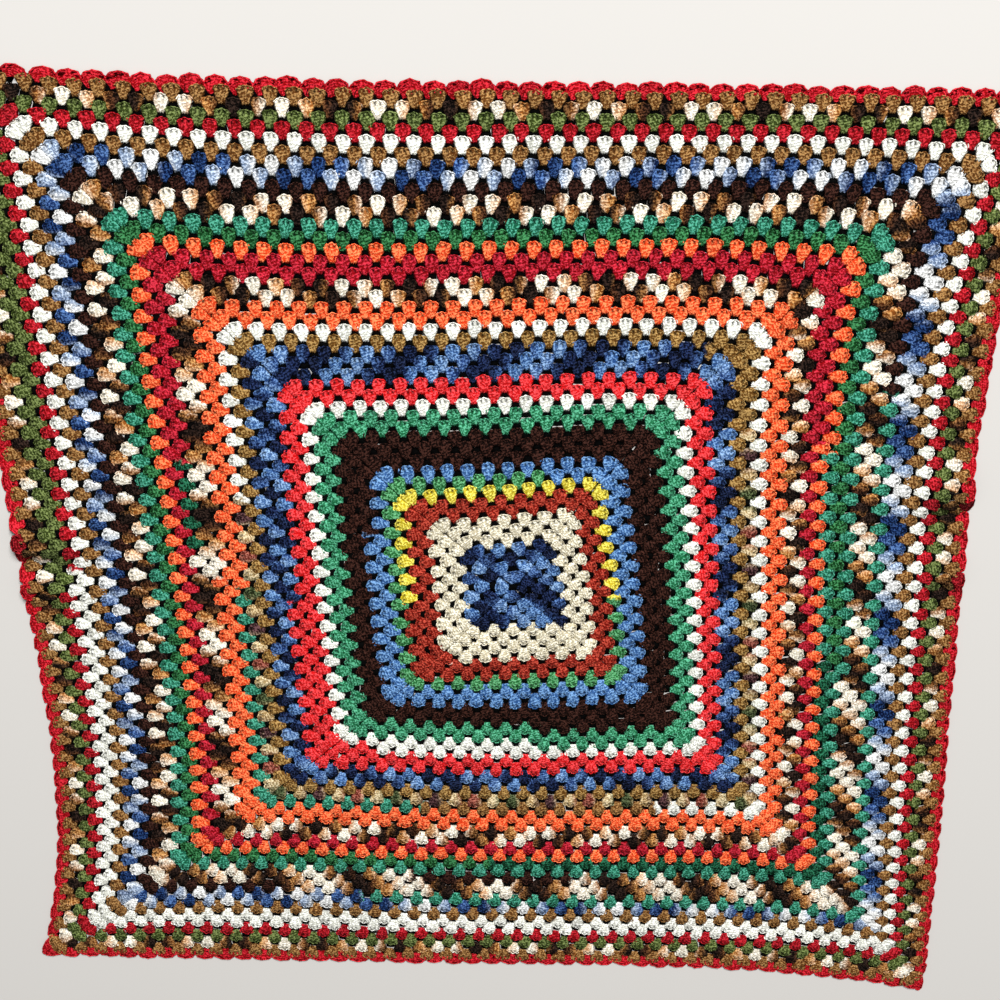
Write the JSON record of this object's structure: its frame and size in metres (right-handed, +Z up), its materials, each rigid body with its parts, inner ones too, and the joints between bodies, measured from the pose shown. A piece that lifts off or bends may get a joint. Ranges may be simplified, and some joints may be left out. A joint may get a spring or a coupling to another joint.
{
  "type": "granny square blanket",
  "caption": "Flat crocheted blanket of clusters in one square spiral of yarn stripes, with a red shell edging.",
  "frame": {"origin": "middle of the blanket's outline, on the surface it lies on", "axes": "+Z up from the surface; +Y towards the side where the spiral ends its last lap; +X to the right, along that side"},
  "size_m": [1.3132, 1.3902, 0.021],
  "materials": {
    "clusters": "matte worsted acrylic yarn in many stripes: solid reds, greens, browns, orange, tan and white, and several variegated yarns",
    "edging": "matte worsted acrylic yarn, bright red"
  },
  "bodies": {
    "root": {"granny_cloth": "clusters", "shell_edging": "edging"}
  },
  "joints": []
}
